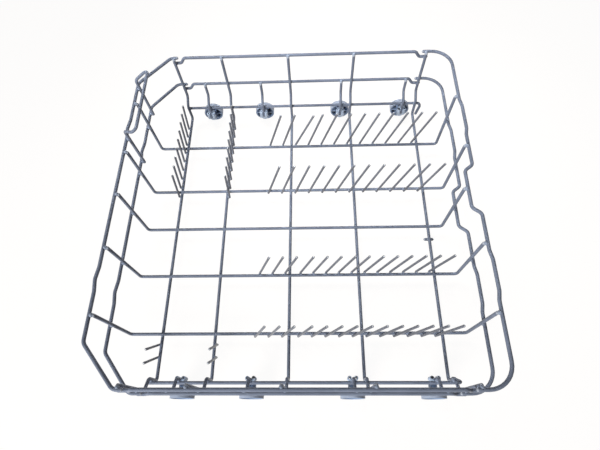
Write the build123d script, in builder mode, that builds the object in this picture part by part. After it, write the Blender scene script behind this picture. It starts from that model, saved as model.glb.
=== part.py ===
"""Lower basket of a dishwasher: a welded frame of coated wire that runs on eight small wheels.

X runs from the basket's front to its rear, Y to its left side and Z up.
The origin lies on the rails under the wheels, at the middle of the basket.
"""

import os
from math import atan2, cos, radians, tan

from build123d import *

os.makedirs("parts", exist_ok=True)

# Diameters of the coated wires, and what is left between two coatings at a weld
rim_wire = 5.0
floor_wire = 4.8
tine_wire = 3.6
weld_gap = 0.05

# Rims, measured to the axis of their wire
rim_half_length = 254.5
rim_half_width = 260.5
rim_heights = {"top": 149.6, "middle": 89.4}
front_chamfer_lengths = {"top": 46.5, "middle": 41.0}
front_chamfer_widths = {"top": 53.5, "middle": 51.0}
front_bend_radius = 12.0
rear_corner_radius = 31.0
notch_depth = 12.0
notch_half_width = 29.5
notch_slope = 9.0
notch_bend_radius = 8.0
joggle_depth = 2.3
joggle_slope = 17.0
joggle_bend_radius = 20.0
front_joggles = (115.0, -126.0)
rear_joggle_middle = 125.0
rear_joggle_half_length = 21.0
rear_joggle_slope = 12.0

# Side rails that close the rims: their ends dip under the ends of the rims at the corner uprights
rim_lap = 7.0
rail_lap = 5.0
rail_dip = 10.5
rail_dip_slope = 7.0
rail_dip_start = 9.5
rail_bend_radius = 6.0

# Floor wires: length wires run front to rear, cross wires run side to side beneath them
floor_height = 27.0
length_wire_places = (164.0, 72.0, 0.0, -82.0, -173.0)
front_wire_inset = 51.8
inner_wire_places = (-122.4, -11.3, 97.7)
rear_wire_inset = 38.4
floor_bend_radius = 5.0
upright_end = 1.5

# Side walls: each cross wire steps out over the wheels at a shoulder
shoulder_depth = 16.75
shoulder_low = 54.0
shoulder_high = 65.0
shoulder_bend_radius = 9.0

# Bottom rails, with a rear end that turns down to the floor behind the last cross wire
bottom_rail_lap = 5.0
bottom_rail_drop = 4.6
bottom_rail_reach = 13.0
bottom_rail_bend_radius = 6.0
bottom_rail_step = 8.35

# Handle loop at the front
handle_middle = 145.0
handle_half_width = 49.5
handle_flare = 12.3
handle_bend_height = 169.4
handle_bar_height = 181.0
handle_reach = 22.5
handle_bend_radius = 7.4
handle_tail = 1.0

# Tines: four rows for plates lean to the rear, two rows for cups lean to the nearer side.
# Plate rows are counted back from their last tine, which stands a little before the last cross wire
tine_lean = 17.5
tine_tail = 1.5
bent_tine_row = 1
bent_tine_number = 3
bent_tine_lean = 23.0
wide_tine_count = 12
wide_tine_pitch = 23.25
wide_tine_inset = 10.35
wide_tine_tip = 110.0
close_tine_count = 14
close_tine_pitch = 20.15
close_tine_inset = 8.75
close_tine_stagger = 3.0
close_tine_tip = 96.0
close_tine_break = 3
close_tine_extra = 3.9
cup_tine_lean = 16.5
cup_tine_tip = 71.0
cup_tine_stagger = 2.5
cup_tine_bays = 5
cup_tine_outer = 3
cup_tine_inner = 1
cup_tine_right_count = 2
cup_tine_right_offset = 14.5

# Stub under the last cross wire
stub_length = 16.5
stub_place = -19.0
stub_chamfer = 1.2

# Wheels and the clips that carry them on the lower ends of the stems
front_wheel_inset = 38.7
inner_wheel_places = (-64.0, 80.0)
rear_wheel_inset = 22.1
wheel_diameter = 35.0
wheel_width = 11.0
wheel_rim_wall = 2.6
wheel_recess = 3.6
wheel_web = 1.8
wheel_hub_diameter = 12.0
wheel_spokes = 6
wheel_spoke_width = 3.2
pin_diameter = 7.0
pin_clearance = 0.06
side_clearance = 0.35
boss_diameter = 12.0
boss_length = 7.05
pin_head_diameter = 8.6
pin_head_thickness = 1.6
clip_lift = 6.5
clip_height = 14.0
clip_width = 12.0
clip_ear_step = 2.0
clip_ear_diameter = 6.0
clip_ear_hole = 2.6
clip_mouth = 3.6
clip_fit = 0.05
arm_gap = 0.4
stem_above_axle = 4.5

# Places worked out from the sizes above
rim_offset = (rim_wire + floor_wire) / 2 + weld_gap
floor_offset = floor_wire + weld_gap
tine_offset = (floor_wire + tine_wire) / 2 + weld_gap
wall_half_length = rim_half_length - rim_offset
wall_half_width = rim_half_width - rim_offset
upright_top = rim_heights["top"] + upright_end
cross_height = floor_height - floor_offset
foot_half_width = wall_half_width - shoulder_depth
shoulder_turn = atan2(shoulder_depth, shoulder_high - shoulder_low)
shoulder_start = shoulder_low - shoulder_bend_radius * tan(shoulder_turn / 2)
bottom_rail_height = shoulder_start - bottom_rail_drop
bottom_rail_half_width = foot_half_width + floor_offset
axle_height = wheel_diameter / 2
stem_end = axle_height + stem_above_axle
front_wire, rear_wire = front_wire_inset - rim_half_length, rim_half_length - rear_wire_inset
cross_wire_places = (front_wire, *inner_wire_places, rear_wire)
wheel_places = (front_wire + front_wheel_inset, *inner_wheel_places, rear_wire - rear_wheel_inset)
sides = {"left": 1, "right": -1}


def keep(builder, name):
    """Labels a finished piece and writes it to its own file."""
    builder.part.label = name
    export_step(builder.part, f"parts/{name}.step")


def bend_wires(name, routes, radii, diameter):
    """Round wires, each bent along straight runs joined by arcs of the given radii."""
    with BuildPart() as wires:
        for route in routes:
            with BuildLine() as path:
                FilletPolyline(*route, radius=radii)
            with BuildSketch(Plane(origin=path.line @ 0, z_dir=path.line % 0)):
                Circle(diameter / 2)
            sweep(path=path.line)
    keep(wires, name)


def wall_route(place, side, top, bottom):
    """The side wall at one place along the basket, from its top end down to its foot."""
    wall, foot = side * wall_half_width, side * foot_half_width
    heights = ((wall, top), (wall, shoulder_high), (foot, shoulder_low), (foot, bottom))
    return [(place, y, z) for y, z in heights]


# Front rims: a U with cut corners and a small joggle either side of the middle
def front_rim(level):
    straight = rim_half_width - front_chamfer_widths[level]
    corner = -rim_half_length + front_chamfer_lengths[level]
    end = front_wire + rim_lap
    cut_corner = [(end, rim_half_width), (corner, rim_half_width), (-rim_half_length, straight)]
    points = list(cut_corner)
    radii = [front_bend_radius] * 2
    for middle in front_joggles:
        for along, out in ((joggle_slope, 0), (0, joggle_depth), (-joggle_slope, 0)):
            points.append((-rim_half_length - out, middle + along))
            radii.append(joggle_bend_radius)
    points += [(x, -y) for x, y in reversed(cut_corner)]
    radii += [front_bend_radius] * 2
    return [(x, y, rim_heights[level]) for x, y in points], radii


# Rear rims: a U with round corners, set out between the uprights and notched at the middle
def rear_rim(level):
    inner = rear_joggle_middle - rear_joggle_half_length
    outer = rear_joggle_middle + rear_joggle_half_length
    half = [
        (rear_wire - rim_lap, rim_half_width, None),
        (rim_half_length, rim_half_width, rear_corner_radius),
        (rim_half_length, outer + rear_joggle_slope, joggle_bend_radius),
        (rim_half_length + joggle_depth, outer, joggle_bend_radius),
        (rim_half_length + joggle_depth, inner, joggle_bend_radius),
        (rim_half_length, inner - rear_joggle_slope, joggle_bend_radius),
        (rim_half_length, notch_half_width + notch_slope, notch_bend_radius),
        (rim_half_length - notch_depth, notch_half_width, notch_bend_radius),
    ]
    whole = half + [(x, -y, radius) for x, y, radius in reversed(half)]
    return [(x, y, rim_heights[level]) for x, y, _ in whole], [radius for _, _, radius in whole[1:-1]]


# Side rails of one rim: straight, with both ends dipped
def side_rail(height, side):
    low = height - rail_dip
    start = front_wire + rail_dip_start
    end = rear_wire - rail_dip_start
    profile = [
        (front_wire - rail_lap, low),
        (start, low),
        (start + rail_dip_slope, height),
        (end - rail_dip_slope, height),
        (end, low),
        (rear_wire + rail_lap, low),
    ]
    return [(x, side * rim_half_width, z) for x, z in profile]


for level, height in rim_heights.items():
    for end, rim in (("front", front_rim), ("rear", rear_rim)):
        route, radii = rim(level)
        bend_wires(f"{level}_rim_{end}", [route], radii, rim_wire)
    for side_name, side in sides.items():
        bend_wires(f"{level}_rail_{side_name}", [side_rail(height, side)], rail_bend_radius, rim_wire)

# Length wires: flat along the floor and up the front and rear walls, the middle one clear of the notch
for number, place in enumerate(length_wire_places, 1):
    in_notch = abs(place) < notch_half_width
    rear = wall_half_length - (notch_depth if in_notch else 0)
    route = [
        (-wall_half_length, place, upright_top),
        (-wall_half_length, place, floor_height),
        (rear, place, floor_height),
        (rear, place, upright_top),
    ]
    bend_wires(f"length_wire_{number}", [route], floor_bend_radius, floor_wire)

# Cross wires: along the floor, up a foot on each side, out over the shoulder and up to the top rim
for number, place in enumerate(cross_wire_places, 1):
    half = wall_route(place, 1, upright_top, cross_height)
    route = half + [(x, -y, z) for x, y, z in reversed(half)]
    bends = [shoulder_bend_radius, shoulder_bend_radius, floor_bend_radius]
    bend_wires(f"cross_wire_{number}", [route], bends + bends[::-1], floor_wire)

# Bottom rails: under the shoulders, with the rear end turned down to the floor behind the last cross wire
for side_name, side in sides.items():
    end = side * (bottom_rail_half_width - bottom_rail_step)
    route = [
        (front_wire - bottom_rail_lap, side * bottom_rail_half_width, bottom_rail_height),
        (rear_wire + bottom_rail_reach, side * bottom_rail_half_width, bottom_rail_height),
        (rear_wire + floor_offset, end, cross_height),
    ]
    bend_wires(f"bottom_rail_{side_name}", [route], bottom_rail_bend_radius, floor_wire)

# Handle loop: two legs inside the front rims, tipped inwards and apart above them
handle_half = [
    (-wall_half_length, handle_half_width, rim_heights["middle"] - rim_wire / 2 - handle_tail),
    (-wall_half_length, handle_half_width, handle_bend_height),
    (-wall_half_length + handle_reach, handle_half_width + handle_flare, handle_bar_height),
]
handle_route = handle_half + [(x, -y, z) for x, y, z in reversed(handle_half)]
handle_route = [(x, handle_middle + y, z) for x, y, z in handle_route]
bend_wires("handle_loop", [handle_route], handle_bend_radius, floor_wire)


# Plate tines: welded to the side of a length wire, on its left or its right, with one tine bent over
def tine_row(last, pitch, count, gap_after=0, extra=0):
    return [last - pitch * (count - i) - (extra if i <= gap_after else 0) for i in range(1, count + 1)]


wide_row = tine_row(rear_wire - wide_tine_inset, wide_tine_pitch, wide_tine_count)
close_last = rear_wire - close_tine_inset
close_sizes = (close_tine_pitch, close_tine_count, close_tine_break, close_tine_extra)
close_row = tine_row(close_last, *close_sizes)
staggered_row = tine_row(close_last - close_tine_stagger, *close_sizes)
plate_rows = {
    1: (wide_row, 1, wide_tine_tip),
    2: (wide_row, -1, wide_tine_tip),
    4: (close_row, 1, close_tine_tip),
    5: (staggered_row, -1, close_tine_tip),
}
for row, (places, side, tip) in plate_rows.items():
    y = length_wire_places[row - 1] + side * tine_offset
    foot = floor_height - tine_tail
    length = (tip - foot) / cos(radians(tine_lean))
    with BuildPart() as tines:
        for number, x in enumerate(places, 1):
            bent = (row, number) == (bent_tine_row, bent_tine_number)
            lean = bent_tine_lean if bent else tine_lean
            with Locations(Location((x - tine_tail * tan(radians(lean)), y, foot), (0, lean, 0))):
                Cylinder(tine_wire / 2, length, align=(Align.CENTER, Align.CENTER, Align.MIN))
    keep(tines, f"plate_tines_{row}")

# Cup tines: on the outer sides of the first two cross wires, leaning towards the nearer side
left_wire, next_wire = length_wire_places[:2]
cup_pitch = (left_wire - next_wire) / cup_tine_bays
cup_left_first = left_wire + cup_pitch * (2 * cup_tine_outer - 1) / 2
cup_left = [cup_left_first - cup_pitch * i for i in range(cup_tine_outer + cup_tine_bays + cup_tine_inner)]
cup_right_first = length_wire_places[-1] - cup_tine_right_offset
cup_right = [cup_right_first - cup_pitch * i for i in range(cup_tine_right_count)]
for number, side, stagger in ((1, -1, cup_tine_stagger), (2, 1, 0)):
    x = cross_wire_places[number - 1] + side * tine_offset
    staggered_left = [y + stagger for y in cup_left]
    foot = cross_height - tine_tail
    length = (cup_tine_tip - foot) / cos(radians(cup_tine_lean))
    with BuildPart() as tines:
        for places, lean in ((staggered_left, -cup_tine_lean), (cup_right, cup_tine_lean)):
            with Locations(*[Location((x, y, foot), (lean, 0, 0)) for y in places]):
                Cylinder(tine_wire / 2, length, align=(Align.CENTER, Align.CENTER, Align.MIN))
    keep(tines, f"cup_tines_{number}")

# Stub: a short blunt piece of wire across the underside of the last cross wire
with BuildPart() as stub:
    with BuildSketch(Plane.YZ.offset(rear_wire - stub_length / 2)):
        with Locations((stub_place, cross_height - floor_offset)):
            Circle(floor_wire / 2)
    extrude(amount=stub_length)
    chamfer(stub.edges().filter_by(GeomType.CIRCLE), stub_chamfer)
keep(stub, "rear_stub")

# Stems: short uprights from the middle rim, down inside the bottom rail to a wheel
for side_name, side in sides.items():
    stem_top = rim_heights["middle"] + upright_end
    routes = [wall_route(place, side, stem_top, stem_end) for place in wheel_places]
    bend_wires(f"wheel_stems_{side_name}", routes, shoulder_bend_radius, floor_wire)

# Places across the basket, from a stem out to the head of its axle pin
arm_inner = foot_half_width + floor_wire / 2 + arm_gap
clip_outer = foot_half_width + floor_wire / 2 + clip_ear_diameter / 2
boss_face = clip_outer + boss_length
wheel_inner = boss_face + side_clearance
wheel_outer = wheel_inner + wheel_width
pin_end = wheel_outer - wheel_recess + side_clearance
arm_height = clip_lift + clip_height

# Axle clips: two ears grip a stem's end, and a boss on the arm below them has a headed pin for the wheel
for side_name, side in sides.items():
    with BuildPart() as clips:
        for place in wheel_places:
            base = Plane((place, side * foot_half_width, axle_height), x_dir=(1, 0, 0), z_dir=(0, 0, 1))
            with BuildSketch(base.offset(clip_lift)):
                with Locations((0, side * (floor_wire + clip_ear_diameter) / 4)):
                    Rectangle(clip_width, (floor_wire + clip_ear_diameter) / 2)
                with Locations((0, -side * clip_ear_step)):
                    with GridLocations(clip_width - clip_ear_diameter / 2, 0, 2, 1):
                        Circle(clip_ear_diameter / 2)
                        Circle(clip_ear_hole / 2, mode=Mode.SUBTRACT)
                Circle(floor_wire / 2 + clip_fit, mode=Mode.SUBTRACT)
                with Locations((0, -side * clip_ear_diameter / 2)):
                    Rectangle(clip_mouth, clip_ear_diameter + clip_ear_step, mode=Mode.SUBTRACT)
            extrude(amount=clip_height)
            outward = Plane((place, 0, axle_height), x_dir=(1, 0, 0), z_dir=(0, side, 0))
            with BuildSketch(outward.offset(arm_inner)):
                Circle(boss_diameter / 2)
                with Locations((0, -side * arm_height / 2)):
                    Rectangle(boss_diameter, arm_height)
            extrude(amount=clip_outer - arm_inner)
            with BuildSketch(outward.offset(clip_outer)):
                Circle(boss_diameter / 2)
            extrude(amount=boss_length)
            with BuildSketch(outward.offset(boss_face)):
                Circle(pin_diameter / 2)
            extrude(amount=pin_end - boss_face)
            with BuildSketch(outward.offset(pin_end)):
                Circle(pin_head_diameter / 2)
            extrude(amount=pin_head_thickness)
    keep(clips, f"axle_clips_{side_name}")

# Wheels: a tread ring round a web with spokes on its inner side, bored for the pin and recessed for its head
bore_radius = pin_diameter / 2 + pin_clearance
tread_radius = wheel_diameter / 2
ring_radius = tread_radius - wheel_rim_wall
hub_radius = wheel_hub_diameter / 2
for side_name, side in sides.items():
    for number, place in enumerate(wheel_places, 1):
        axle = Plane((place, 0, axle_height), x_dir=(1, 0, 0), z_dir=(0, side, 0))
        with BuildPart() as wheel:
            with BuildSketch(axle.offset(wheel_inner)):
                Circle(tread_radius)
                Circle(bore_radius, mode=Mode.SUBTRACT)
            extrude(amount=wheel_width)
            with BuildSketch(axle.offset(wheel_outer - wheel_recess)):
                Circle(ring_radius)
            extrude(amount=wheel_recess, mode=Mode.SUBTRACT)
            with BuildSketch(axle.offset(wheel_inner)):
                Circle(ring_radius)
                Circle(hub_radius, mode=Mode.SUBTRACT)
                with PolarLocations(0, wheel_spokes):
                    spoke = (Align.MIN, Align.CENTER)
                    Rectangle(ring_radius, wheel_spoke_width, align=spoke, mode=Mode.SUBTRACT)
            extrude(amount=wheel_width - wheel_recess - wheel_web, mode=Mode.SUBTRACT)
        keep(wheel, f"wheel_{side_name}_{number}")
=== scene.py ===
"""Looks of a dishwasher's lower basket: coated wire, leaning tines and small wheels, on a pale floor."""

from math import atan2, cos, pi, radians, sin, tan

import bmesh
import bpy
from bpy.props import FloatProperty, FloatVectorProperty, IntProperty, IntVectorProperty, PointerProperty
from bpy.types import Operator, Panel, PropertyGroup
from mathutils import Matrix, Quaternion, Vector


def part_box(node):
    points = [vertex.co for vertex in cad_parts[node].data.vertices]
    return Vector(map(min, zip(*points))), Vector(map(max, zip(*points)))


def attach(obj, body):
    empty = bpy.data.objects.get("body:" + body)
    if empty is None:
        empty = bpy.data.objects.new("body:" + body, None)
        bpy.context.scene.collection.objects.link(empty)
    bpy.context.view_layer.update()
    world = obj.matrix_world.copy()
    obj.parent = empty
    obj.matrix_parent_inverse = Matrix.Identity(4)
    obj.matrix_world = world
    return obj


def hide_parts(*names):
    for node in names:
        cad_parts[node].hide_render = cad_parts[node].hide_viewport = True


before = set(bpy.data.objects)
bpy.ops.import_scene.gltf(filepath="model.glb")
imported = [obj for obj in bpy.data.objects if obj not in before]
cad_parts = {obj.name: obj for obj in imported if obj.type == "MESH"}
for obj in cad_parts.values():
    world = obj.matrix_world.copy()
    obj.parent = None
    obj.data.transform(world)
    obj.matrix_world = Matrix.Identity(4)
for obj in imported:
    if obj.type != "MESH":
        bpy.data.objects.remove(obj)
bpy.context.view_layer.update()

bl_info = {
    "name": "Dishwasher basket",
    "version": (1, 0, 0),
    "blender": (4, 5, 0),
    "location": "3D View > Sidebar > Basket",
    "description": "Dresses the basket's wires, tines, clips and wheels, and sets its stage",
    "category": "Object",
}

BASKET = "basket"
SIDES = {"left": 1, "right": -1}
PHOTO_WIDTH = 600
WHITE = (1.0, 1.0, 1.0, 1.0)
# Points nearer than this are one point, in metres
MERGE_DISTANCE = 1e-6
# Depth of the relief in the finishes, in metres
RELIEF_DEPTH = 0.0002


def short_form(kind, **fixed):
    """A kind of property that takes only a name, a default and a description."""

    def make(name, default, description):
        return kind(name=name, default=default, description=description, **fixed)

    return make


size = short_form(FloatProperty, subtype="DISTANCE", unit="LENGTH")
position = short_form(FloatVectorProperty, size=3, subtype="XYZ", unit="LENGTH")
share = short_form(FloatProperty, subtype="FACTOR", min=0, max=1)
watts = short_form(FloatProperty, subtype="POWER", unit="POWER")
amount = short_form(FloatProperty)
count = short_form(IntProperty, min=0)
colour = short_form(FloatVectorProperty, size=3, subtype="COLOR", min=0, max=1)


def sizes(name, default, description):
    """A row of lengths."""
    return short_form(FloatVectorProperty, size=len(default), unit="LENGTH")(name, default, description)


def degrees(name, default, description):
    """An angle, written here in degrees and kept in radians."""
    return short_form(FloatProperty, subtype="ANGLE")(name, radians(default), description)


class WireSizes(PropertyGroup):
    """Diameters of the coated wires and how finely they are drawn."""

    rim: size("Rim wire", 0.0050, "Diameter of the rims and side rails")
    floor: size("Floor wire", 0.0048, "Diameter of the floor wires, stems, bottom rails and handle")
    tine: size("Tine wire", 0.0036, "Diameter of the tines")
    gap: size("Weld gap", 0.00005, "Distance between two coatings at a weld")
    sides: count("Sides", 20, "Sides of a wire's round section")
    bend_steps: count("Bend steps", 9, "Steps round each bend")
    bead: amount("Weld bead", 0.62, "Radius of the pooled coat at a weld, in diameters of the thinner wire")
    bead_steps: count("Bead steps", 3, "How finely a weld bead is divided")
    tip_swell: amount("Tip swell", 1.07, "Swelling of the dipped coat just below a tine's tip")
    swell_length: amount("Swell length", 1.9, "How far below the tip that swelling ends, in diameters")


class RimSizes(PropertyGroup):
    """The two rims and their side rails, to the axis of the wire."""

    half_length: size("Half length", 0.2545, "From the middle to the front and rear runs")
    half_width: size("Half width", 0.2605, "From the middle to the side runs")
    top: size("Top rim height", 0.1496, "Height of the top rim")
    middle: size("Middle rim height", 0.0894, "Height of the middle rim")
    cut_lengths: sizes("Cut corner lengths", (0.0465, 0.041), "Length of the front corners, top and middle")
    cut_widths: sizes("Cut corner widths", (0.0535, 0.051), "Width of the front corners, top and middle")
    front_bend: size("Front bend radius", 0.012, "Bends of the cut corners")
    rear_bend: size("Rear bend radius", 0.031, "Rear corners")
    notch_depth: size("Notch depth", 0.012, "Depth of the rear notch")
    notch_half_width: size("Notch half width", 0.0295, "Half the width of the rear notch's floor")
    notch_slope: size("Notch slope", 0.009, "Width of the notch's slopes")
    notch_bend: size("Notch bend radius", 0.008, "Bends of the notch")
    joggle: size("Joggle depth", 0.0023, "How far the rims are set out between uprights")
    joggle_bend: size("Joggle bend radius", 0.020, "Bends of the joggles")
    front_joggle_slope: size("Front joggle slope", 0.017, "Width of a front joggle's slopes")
    front_joggles: sizes("Front joggles", (0.115, -0.126), "Places of the front joggles")
    rear_joggle: size("Rear joggle place", 0.125, "Middle of a rear joggle")
    rear_joggle_half: size("Rear joggle half length", 0.021, "Half the flat length of a rear joggle")
    rear_joggle_slope: size("Rear joggle slope", 0.012, "Width of a rear joggle's slopes")
    lap: size("Rim lap", 0.007, "How far a rim's end runs past the corner upright")
    rail_lap: size("Rail lap", 0.005, "How far a side rail's end runs past the corner upright")
    rail_dip: size("Rail dip", 0.0105, "How far a side rail's ends dip")
    rail_dip_slope: size("Rail dip slope", 0.007, "Length of the dip's slope")
    rail_dip_start: size("Rail dip start", 0.0095, "From the corner upright to the dip's slope")
    rail_bend: size("Rail bend radius", 0.006, "Bends of the dips")


class FloorSizes(PropertyGroup):
    """The floor wires, the side walls' shoulders, the bottom rails and the stub."""

    height: size("Floor height", 0.027, "Height of the length wires")
    length_places: sizes("Length wires", (0.164, 0.072, 0.0, -0.082, -0.173), "Places across the basket")
    cross_places: sizes("Cross wires", (-0.2027, -0.1224, -0.0113, 0.0977, 0.2161), "Places along the basket")
    bend: size("Floor bend radius", 0.005, "Bends from the floor into a wall")
    upright_end: size("Upright end", 0.0015, "How far an upright ends above a rim's axis")
    shoulder_depth: size("Shoulder depth", 0.01675, "How far a side wall steps out over its foot")
    shoulder_low: size("Shoulder low", 0.054, "Height of the shoulder's inner bend")
    shoulder_high: size("Shoulder high", 0.065, "Height of the shoulder's outer bend")
    shoulder_bend: size("Shoulder bend radius", 0.009, "Bends of the shoulder")
    rail_lap: size("Bottom rail lap", 0.005, "How far a bottom rail runs past the first cross wire")
    rail_drop: size("Bottom rail drop", 0.0046, "How far a bottom rail lies below the shoulder's inner bend")
    rail_reach: size("Bottom rail reach", 0.013, "How far a bottom rail's bend lies past the last cross wire")
    rail_bend: size("Bottom rail bend radius", 0.006, "Bend of a bottom rail towards the floor")
    rail_step: size("Bottom rail step", 0.00835, "How far a bottom rail's end comes in on its way down")
    stub_length: size("Stub length", 0.0165, "Length of the stub")
    stub_place: size("Stub place", -0.019, "Place of the stub across the basket")


class HandleSizes(PropertyGroup):
    """The handle loop at the front."""

    middle: size("Handle middle", 0.145, "Place of the handle across the basket")
    half_width: size("Handle half width", 0.0495, "Half the distance between its legs")
    flare: size("Handle flare", 0.0123, "How far each end of the bar stands outside its leg")
    bend_height: size("Handle bend height", 0.1694, "Height where the legs tip inwards")
    bar_height: size("Handle bar height", 0.181, "Height of its bar")
    reach: size("Handle reach", 0.0225, "How far the bar stands inside the legs")
    bend: size("Handle bend radius", 0.0074, "Its bends")
    tail: size("Handle tail", 0.001, "How far the legs end below the middle rim")


class TineSizes(PropertyGroup):
    """Rows of tines."""

    lean: degrees("Lean", 17.5, "Lean of the plate tines")
    tail: size("Tail", 0.0015, "How far a tine's end lies below the wire's axis")
    bent: IntVectorProperty(
        name="Bent tine", default=(1, 3), description="Row and number of the bent tine", size=2
    )
    bent_lean: degrees("Bent lean", 23.0, "Lean of the bent tine")
    wide_count: count("Wide row count", 12, "Tines in a row of wide pitch")
    wide_pitch: size("Wide pitch", 0.02325, "Pitch of a wide row")
    wide_last: size("Wide last", 0.20575, "Place of a wide row's last tine")
    wide_tip: size("Wide tip height", 0.110, "Height of a wide row's tips")
    close_count: count("Close row count", 14, "Tines in a row of close pitch")
    close_pitch: size("Close pitch", 0.02015, "Pitch of a close row")
    close_last: size("Close last", 0.20735, "Place of a close row's last tine")
    close_stagger: size("Close stagger", 0.003, "How far row 5 stands before row 4")
    close_tip: size("Close tip height", 0.096, "Height of a close row's tips")
    close_break: count("Close break", 3, "Tines of a close row before its wider gap")
    close_extra: size("Close extra", 0.0039, "Extra width of that gap")
    cup_lean: degrees("Cup lean", 16.5, "Lean of the cup tines")
    cup_stagger: size("Cup stagger", 0.0025, "How far the left tines of row 1 stand further left")
    cup_tip: size("Cup tip height", 0.071, "Height of the cup tines' tips")
    cup_bays: count("Cup bays", 5, "Cup tines between the first two length wires")
    cup_outer: count("Cup outer", 3, "Cup tines on the left of the first length wire")
    cup_inner: count("Cup inner", 1, "Cup tines on the right of the second length wire")
    cup_right_count: count("Cup right count", 2, "Cup tines near the right wall")
    cup_right_offset: size("Cup right offset", 0.0145, "From the last length wire to the first of those")


class WheelSizes(PropertyGroup):
    """Wheels and their axle clips."""

    places: sizes("Wheel places", (-0.164, -0.064, 0.080, 0.194), "Places of the wheels along the basket")
    diameter: size("Wheel diameter", 0.035, "Diameter over the tread")
    width: size("Wheel width", 0.011, "Width of a wheel")
    ring_wall: size("Ring wall", 0.0026, "Thickness of the tread ring")
    recess: size("Outer recess", 0.0036, "Depth of the recess on the outer side")
    web: size("Web", 0.0018, "Thickness of the web")
    hub: size("Hub diameter", 0.012, "Diameter of the hub")
    bore: size("Bore diameter", 0.00712, "Diameter of the bore")
    spokes: count("Spokes", 6, "Spokes on the inner side")
    spoke_width: size("Spoke width", 0.0032, "Width of a spoke")
    ribs: count("Tread ribs", 60, "Fine ribs across the tread")
    rib_depth: size("Rib depth", 0.00012, "Depth of the grooves between the ribs")
    edge: size("Wheel edge", 0.0005, "Rounding of a wheel's edges")
    clip_edge: size("Clip edge", 0.00025, "Rounding of a clip's edges")
    ear_spread: size("Ear spread", 0.0045, "From a stem to the hole in each ear of its clip")
    ear_step: size("Ear step", 0.0020, "How far those holes lie inside the stem")
    # The dark disc in and round each ear hole is painted shade
    ear_hole: size("Ear hole", 0.0034, "Diameter of the dark film in and round a hole")
    stem_above: size("Stem above axle", 0.0045, "How far a stem ends above the axle")

    def ring(self):
        """Inner radius of the tread ring."""
        return self.diameter / 2 - self.ring_wall

    def pocket(self):
        """Depth of the pockets between the spokes, from the inner side to the web."""
        return self.width - self.recess - self.web


class Finishes(PropertyGroup):
    """Colours of the coats and plastics, in linear light."""

    coat: colour("Wire coat", (0.212, 0.248, 0.330), "Nylon coat of the wires")
    # Pale colour of the coat's own film, and also of the painted highlight on the weld beads
    pale_film_and_glint: colour("Wire coat film", (0.500, 0.590, 0.740), "Pale film, and the thick coat of welds")
    # The near-white of the wires' ends is partly metal where the coat has worn off and partly a painted glint
    ends: colour("Wire ends", (0.780, 0.830, 0.900), "Bare ends of the wires, where the coat has worn off")
    tine: colour("Tine coat", (0.200, 0.214, 0.252), "Nylon coat of the tines")
    wheel: colour("Wheel plastic", (0.300, 0.400, 0.580), "Plastic of the wheels")
    tread: colour("Tread", (0.410, 0.480, 0.610), "Worn plastic of the tread")
    clip: colour("Clip plastic", (0.500, 0.620, 0.800), "Plastic of the axle clips")
    # Colour of the plastic's random dirt blotches, and also of the painted shade in the wheels' pockets and
    # in and round the clips' ear holes
    grime: colour("Grime", (0.020, 0.024, 0.034), "Dark film in the holes and pockets of the plastic")
    floor: colour("Floor", (0.43, 0.37, 0.32), "Matte floor, under the white that the camera sees")


class CoatLook(PropertyGroup):
    """How the nylon coat varies over the wires."""

    drift: share("Drift", 0.1, "How much lighter and darker the coat is from place to place")
    drift_scale: amount("Drift scale", 26.0, "How fine that drift is")
    film: share("Film", 0.15, "How much of the coat the pale film hides where it is thickest")
    film_scale: amount("Film scale", 140.0, "How fine the film's pattern is")
    # The paler colour on the weld beads is a painted highlight
    pool: share("Weld pool", 0.45, "How much of the thick coat's pale colour shows at a weld")
    # This share also sets how strongly the painted glint on the wires' ends shows
    bare: share("Bare share", 0.95, "How much of the coat has worn off the wires' ends")
    shine: share("Shine", 0.06, "How much the coat mirrors what it faces, where 0.5 is usual plastic")
    rough: share("Roughness", 0.12, "How dull the coat is where its film is thinnest")
    film_rough: share("Film roughness", 0.16, "How much duller it is where its film is thickest")
    grain: share("Grain", 0.2, "How much of the relief is grain, where the rest is film")
    grain_scale: amount("Grain scale", 2600.0, "How fine the grain is")
    relief: share("Relief", 0.06, "Strength of the relief")


class PlasticLook(PropertyGroup):
    """How the moulded plastic varies over the wheels and clips."""

    darker: share("Darker mottling", 0.07, "How much darker the dark mottling is")
    lighter: share("Lighter mottling", 0.06, "How much lighter the light mottling is")
    mottle_scale: amount("Mottling scale", 180.0, "How fine the mottling is")
    dirt: share("Dirt", 0.14, "How much of the plastic the dark film hides where it is thickest")
    dirt_scale: amount("Dirt scale", 420.0, "How fine the dark film's blotches are")
    rough: share("Roughness", 0.38, "How dull the plastic is where its grain is lowest")
    grain_rough: share("Grain roughness", 0.15, "How much duller it is where its grain is highest")
    grain: share("Grain", 0.5, "How much of the relief is grain, where the rest is mottling")
    grain_scale: amount("Grain scale", 3200.0, "How fine the grain is")
    relief: share("Relief", 0.2, "Strength of the relief")


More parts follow.
